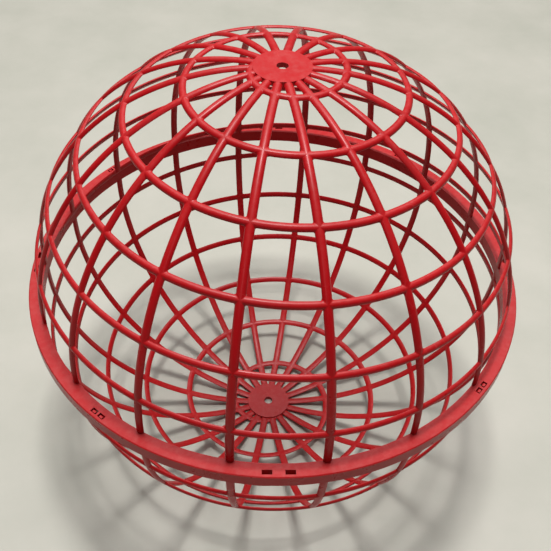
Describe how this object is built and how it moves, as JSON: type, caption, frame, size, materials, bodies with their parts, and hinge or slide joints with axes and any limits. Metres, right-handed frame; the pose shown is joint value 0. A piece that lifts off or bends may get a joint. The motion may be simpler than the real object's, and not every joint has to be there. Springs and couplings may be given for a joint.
{
  "type": "lattice ball",
  "caption": "Moulded plastic lattice ball in snap-together halves: meridian ribs crossed by a spiral bar, flat pole discs with a centre hole, and a flanged equator.",
  "frame": {"origin": "centre of the ball, on the parting plane between the two halves", "axes": "+Z from the lower pole to the upper pole; +X through a rib of the upper half; the snap hooks of the upper half lie on +X, +Y, -X and -Y"},
  "size_m": [0.3134, 0.3134, 0.3026],
  "materials": {
    "red_plastic": "semi-gloss moulded polypropylene, bright red"
  },
  "bodies": {
    "lower_half": {"lower_flange": "red_plastic", "lower_pole_disc": "red_plastic", "lower_snap_hooks": "red_plastic", "lower_spiral_turn_1": "red_plastic", "lower_spiral_turn_2": "red_plastic", "lower_spiral_turn_3": "red_plastic", "lower_spiral_turn_4": "red_plastic", "lower_spiral_turn_5": "red_plastic", "lower_spiral_turn_6": "red_plastic", "lower_rib_01": "red_plastic", "lower_rib_02": "red_plastic", "lower_rib_03": "red_plastic", "lower_rib_04": "red_plastic", "lower_rib_05": "red_plastic", "lower_rib_06": "red_plastic", "lower_rib_07": "red_plastic", "lower_rib_08": "red_plastic", "lower_rib_09": "red_plastic", "lower_rib_10": "red_plastic", "lower_rib_11": "red_plastic", "lower_rib_12": "red_plastic", "lower_rib_13": "red_plastic", "lower_rib_14": "red_plastic", "lower_rib_15": "red_plastic", "lower_rib_16": "red_plastic", "lower_rib_17": "red_plastic", "lower_rib_18": "red_plastic"},
    "upper_half": {"upper_flange": "red_plastic", "upper_pole_disc": "red_plastic", "upper_snap_hooks": "red_plastic", "upper_spiral_turn_1": "red_plastic", "upper_spiral_turn_2": "red_plastic", "upper_spiral_turn_3": "red_plastic", "upper_spiral_turn_4": "red_plastic", "upper_spiral_turn_5": "red_plastic", "upper_spiral_turn_6": "red_plastic", "upper_rib_01": "red_plastic", "upper_rib_02": "red_plastic", "upper_rib_03": "red_plastic", "upper_rib_04": "red_plastic", "upper_rib_05": "red_plastic", "upper_rib_06": "red_plastic", "upper_rib_07": "red_plastic", "upper_rib_08": "red_plastic", "upper_rib_09": "red_plastic", "upper_rib_10": "red_plastic", "upper_rib_11": "red_plastic", "upper_rib_12": "red_plastic", "upper_rib_13": "red_plastic", "upper_rib_14": "red_plastic", "upper_rib_15": "red_plastic", "upper_rib_16": "red_plastic", "upper_rib_17": "red_plastic", "upper_rib_18": "red_plastic"}
  },
  "joints": [
    {"name": "upper_lift", "type": "slide", "parent": "lower_half", "child": "upper_half", "axis": [0, 0, 1], "range_m": [0, 0.12]}
  ]
}
